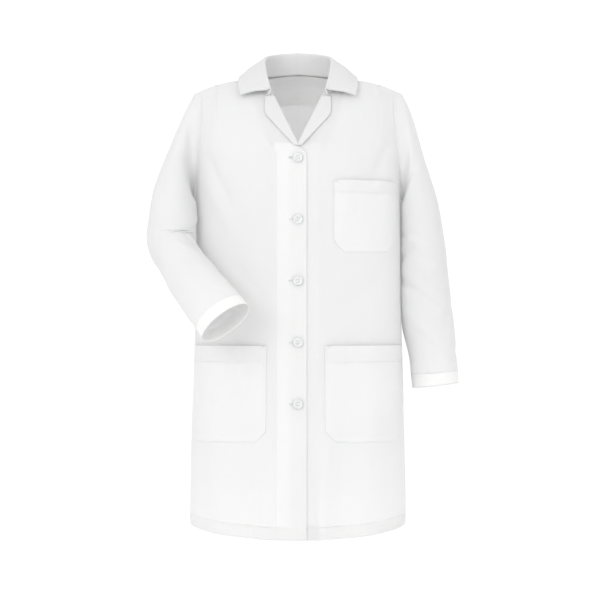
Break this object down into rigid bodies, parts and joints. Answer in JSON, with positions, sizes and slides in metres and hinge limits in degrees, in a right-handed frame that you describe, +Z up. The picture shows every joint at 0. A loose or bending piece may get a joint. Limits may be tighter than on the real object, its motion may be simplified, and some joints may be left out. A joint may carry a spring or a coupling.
{
  "type": "lab coat",
  "caption": "White knee-length lab coat with a notched collar, a buttoned front, a chest pocket, two lower patch pockets and long plain sleeves, one bent.",
  "frame": {"origin": "middle of the neck opening, level with the two points where the shoulder seams meet the collar; it is where a hanger's hook or a form's neck holds the coat", "axes": "+Z up along the coat's length, -Y the coat's front, +X the wearer's left"},
  "size_m": [0.6267, 0.3533, 0.9923],
  "materials": {
    "white_poplin": "plain weave, matt",
    "pearl_button": "semi-gloss",
    "white_thread": "matt"
  },
  "bodies": {
    "coat": {"left_front": "white_poplin", "right_front": "white_poplin", "left_front_facing": "white_poplin", "right_front_facing": "white_poplin", "left_lapel": "white_poplin", "right_lapel": "white_poplin", "left_back": "white_poplin", "right_back": "white_poplin", "back_neck_facing": "white_poplin", "back_vent_underlay": "white_poplin", "upper_collar": "white_poplin", "under_collar": "white_poplin", "chest_pocket": "white_poplin", "left_pocket": "white_poplin", "right_pocket": "white_poplin"},
    "left_upper_arm": {"left_upper_sleeve": "white_poplin"},
    "left_forearm": {"left_lower_sleeve": "white_poplin", "left_cuff_hem": "white_poplin"},
    "right_upper_arm": {"right_upper_sleeve": "white_poplin"},
    "right_forearm": {"right_lower_sleeve": "white_poplin", "right_cuff_hem": "white_poplin"},
    "button_1_body": {"button_1": "pearl_button", "button_1_thread": "white_thread"},
    "button_2_body": {"button_2": "pearl_button", "button_2_thread": "white_thread"},
    "button_3_body": {"button_3": "pearl_button", "button_3_thread": "white_thread"},
    "button_4_body": {"button_4": "pearl_button", "button_4_thread": "white_thread"},
    "button_5_body": {"button_5": "pearl_button", "button_5_thread": "white_thread"}
  },
  "joints": [
    {"name": "left_shoulder", "type": "hinge", "parent": "coat", "child": "left_upper_arm", "pos_m": [0.2075, 0, -0.043], "axis": [0, -1, 0], "range_deg": [0, 60]},
    {"name": "right_shoulder", "type": "hinge", "parent": "coat", "child": "right_upper_arm", "pos_m": [-0.2075, 0, -0.043], "axis": [0, 1, 0], "range_deg": [0, 60]},
    {"name": "left_elbow", "type": "hinge", "parent": "left_upper_arm", "child": "left_forearm", "pos_m": [0.258, -0.069, -0.34], "axis": [-1, 0, 0], "range_deg": [0, 95]},
    {"name": "right_elbow", "type": "hinge", "parent": "right_upper_arm", "child": "right_forearm", "pos_m": [-0.2215, -0.108, -0.315], "axis": [-0.7507, -0.6606, 0], "range_deg": [-42, 10]},
    {"name": "button_1_turn", "type": "hinge", "parent": "coat", "child": "button_1_body", "pos_m": [0, -0.11754, -0.17088], "axis": [0, -0.9949, 0.1006], "range_deg": [-40, 40]},
    {"name": "button_2_turn", "type": "hinge", "parent": "coat", "child": "button_2_body", "pos_m": [0, -0.11971, -0.292], "axis": [0, -1, -0.0019], "range_deg": [-40, 40]},
    {"name": "button_3_turn", "type": "hinge", "parent": "coat", "child": "button_3_body", "pos_m": [0, -0.1204, -0.41299], "axis": [0, -0.9999, 0.0122], "range_deg": [-40, 40]},
    {"name": "button_4_turn", "type": "hinge", "parent": "coat", "child": "button_4_body", "pos_m": [0, -0.12214, -0.53398], "axis": [0, -0.9999, 0.0163], "range_deg": [-40, 40]},
    {"name": "button_5_turn", "type": "hinge", "parent": "coat", "child": "button_5_body", "pos_m": [0, -0.12433, -0.65498], "axis": [0, -0.9998, 0.0199], "range_deg": [-40, 40]}
  ]
}
